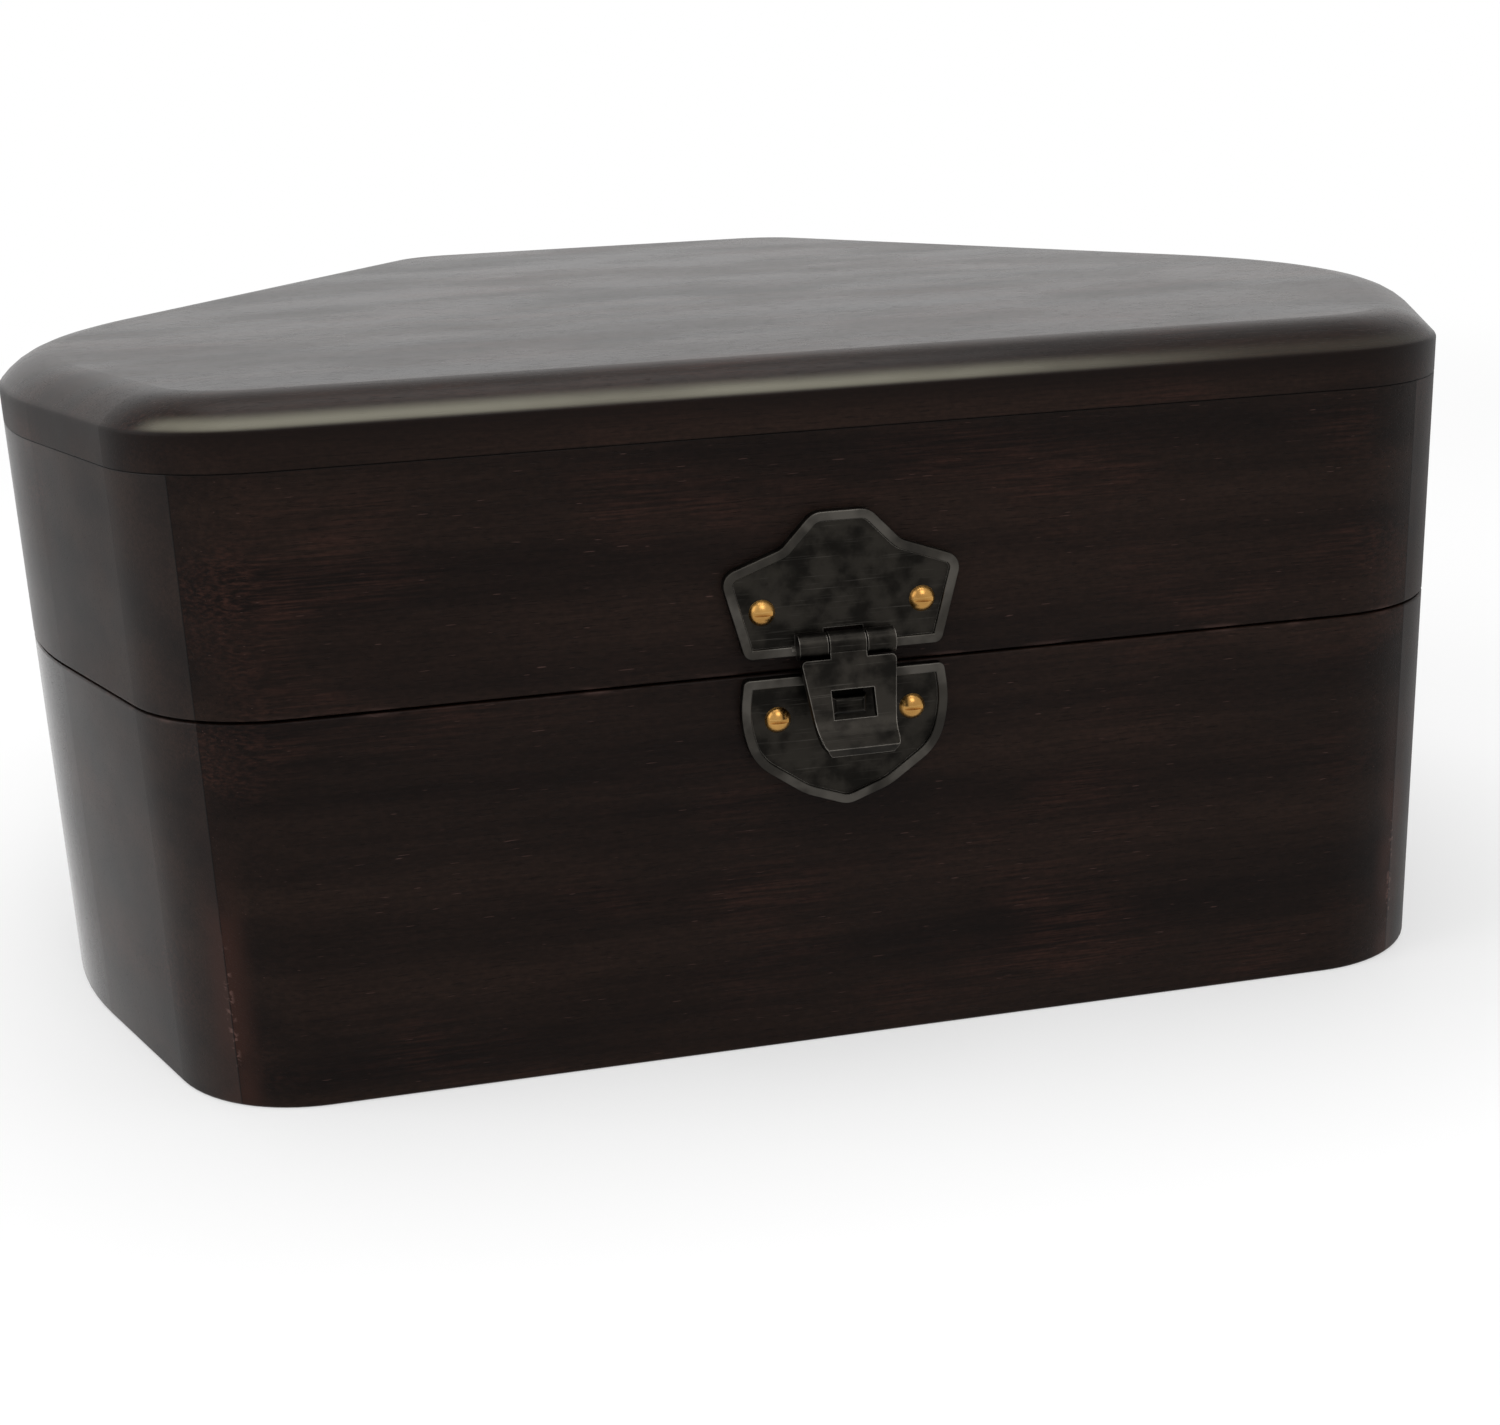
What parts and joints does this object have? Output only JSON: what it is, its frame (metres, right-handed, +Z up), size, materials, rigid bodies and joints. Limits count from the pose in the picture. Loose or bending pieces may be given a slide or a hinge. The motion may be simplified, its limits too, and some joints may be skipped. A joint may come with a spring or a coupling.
{
  "type": "sextant box",
  "caption": "Dark wooden case of six rounded sides with a hinged lid, bronze tongue latch, felt lining and socketed leg rests.",
  "frame": {"origin": "on the resting face, under the middle of the plan from front face to back face", "axes": "+Z up, -Y out of the front with the latch, +X to the right seen from the front"},
  "size_m": [0.2036, 0.2057, 0.088],
  "materials": {
    "dark_wood": "satin",
    "block_wood": "satin",
    "lining_felt": "matte",
    "bronze": "satin",
    "brass": "satin",
    "steel": "satin"
  },
  "bodies": {
    "base": {"base_front_wall": "dark_wood", "base_left_wall": "dark_wood", "base_right_wall": "dark_wood", "base_back_wall": "dark_wood", "base_bottom_panel": "dark_wood", "base_panel_pins": "steel", "base_wall_lining": "lining_felt", "base_floor_lining": "lining_felt", "leg_block_left": "block_wood", "leg_block_right": "block_wood", "leg_block_back": "block_wood", "leg_socket_felts": "lining_felt", "leg_block_screws": "brass", "left_hinge_base_leaf": "brass", "right_hinge_base_leaf": "brass", "left_hinge_pin": "brass", "right_hinge_pin": "brass", "hinge_base_screws": "brass", "latch_base_plate": "bronze", "latch_catch": "bronze", "latch_base_screws": "brass"},
    "lid": {"lid_front_wall": "dark_wood", "lid_left_wall": "dark_wood", "lid_right_wall": "dark_wood", "lid_back_wall": "dark_wood", "lid_top_board": "dark_wood", "lid_wall_lining": "lining_felt", "lid_ceiling_lining": "lining_felt", "left_hinge_lid_leaf": "brass", "right_hinge_lid_leaf": "brass", "hinge_lid_screws": "brass", "latch_lid_plate": "bronze", "latch_pin": "bronze", "latch_lid_screws": "brass"},
    "tongue": {"latch_tongue": "bronze"}
  },
  "joints": [
    {"name": "lid_hinge", "type": "hinge", "parent": "base", "child": "lid", "pos_m": [0, 0.0963, 0.05015], "axis": [-1, 0, 0], "range_deg": [0, 100]},
    {"name": "latch_tongue_hinge", "type": "hinge", "parent": "lid", "child": "tongue", "pos_m": [0, -0.0994, 0.0536], "axis": [-1, 0, 0], "range_deg": [-20, 110]}
  ]
}
